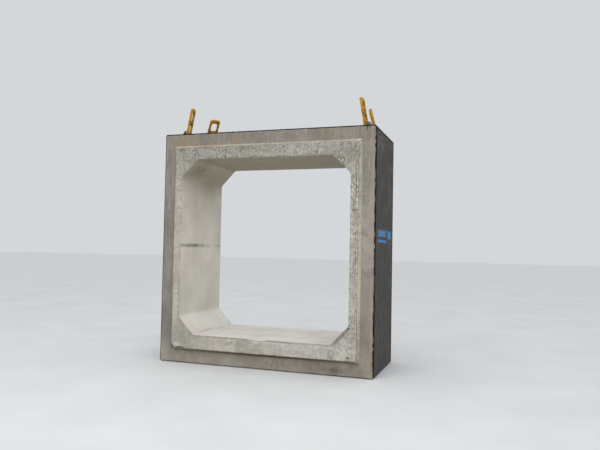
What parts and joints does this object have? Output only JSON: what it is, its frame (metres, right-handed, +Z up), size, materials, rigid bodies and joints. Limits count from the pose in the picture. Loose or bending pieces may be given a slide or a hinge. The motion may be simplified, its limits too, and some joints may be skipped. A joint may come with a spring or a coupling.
{
  "type": "precast box culvert",
  "caption": "Precast concrete box culvert unit with haunched corners, a tapered spigot and a socket end, a bituminous coat and swivel lifting clutches.",
  "frame": {"origin": "under the middle of the unit's length and width, on the underside of the base", "axes": "+X across the waterway, +Y along it from the spigot to the socket, +Z up"},
  "size_m": [3.408, 1.46, 4.0537],
  "materials": {
    "concrete": "cast concrete, smooth on the formed faces and rough on the spigot's face",
    "bitumen": "matt black bituminous coat",
    "forged_steel": "dark forged steel",
    "yellow_paint": "worn yellow paint on forged steel"
  },
  "bodies": {
    "root": {"culvert_box": "concrete", "roof_membrane": "bitumen", "left_wall_membrane": "bitumen", "right_wall_membrane": "bitumen", "anchor_front_left": "forged_steel", "anchor_back_left": "forged_steel", "anchor_front_right": "forged_steel", "anchor_back_right": "forged_steel"},
    "ball_front_left": {"clutch_ball_front_left": "forged_steel"},
    "bail_front_left": {"clutch_bail_front_left": "yellow_paint"},
    "ball_back_left": {"clutch_ball_back_left": "forged_steel"},
    "bail_back_left": {"clutch_bail_back_left": "yellow_paint"},
    "ball_front_right": {"clutch_ball_front_right": "forged_steel"},
    "bail_front_right": {"clutch_bail_front_right": "yellow_paint"},
    "ball_back_right": {"clutch_ball_back_right": "forged_steel"},
    "bail_back_right": {"clutch_bail_back_right": "yellow_paint"}
  },
  "joints": [
    {"name": "swivel_front_left", "type": "hinge", "parent": "root", "child": "ball_front_left", "pos_m": [-1.48, -0.34, 3.558], "axis": [0, 0, 1], "continuous": true},
    {"name": "tilt_front_left", "type": "hinge", "parent": "ball_front_left", "child": "bail_front_left", "pos_m": [-1.48, -0.34, 3.61999], "axis": [-0.2079, 0.9781, 0], "range_deg": [-90, 80]},
    {"name": "swivel_back_left", "type": "hinge", "parent": "root", "child": "ball_back_left", "pos_m": [-1.48, 0.4, 3.558], "axis": [0, 0, 1], "continuous": true},
    {"name": "tilt_back_left", "type": "hinge", "parent": "ball_back_left", "child": "bail_back_left", "pos_m": [-1.48, 0.4, 3.61999], "axis": [0.6428, 0.766, 0], "range_deg": [-114, 56]},
    {"name": "swivel_front_right", "type": "hinge", "parent": "root", "child": "ball_front_right", "pos_m": [1.48, -0.34, 3.558], "axis": [0, 0, 1], "continuous": true},
    {"name": "tilt_front_right", "type": "hinge", "parent": "ball_front_right", "child": "bail_front_right", "pos_m": [1.48, -0.34, 3.61999], "axis": [-0.0523, -0.9986, 0], "range_deg": [-90, 80]},
    {"name": "swivel_back_right", "type": "hinge", "parent": "root", "child": "ball_back_right", "pos_m": [1.48, 0.4, 3.558], "axis": [0, 0, 1], "continuous": true},
    {"name": "tilt_back_right", "type": "hinge", "parent": "ball_back_right", "child": "bail_back_right", "pos_m": [1.48, 0.4, 3.61999], "axis": [0.2588, -0.9659, 0], "range_deg": [-94, 76]}
  ]
}
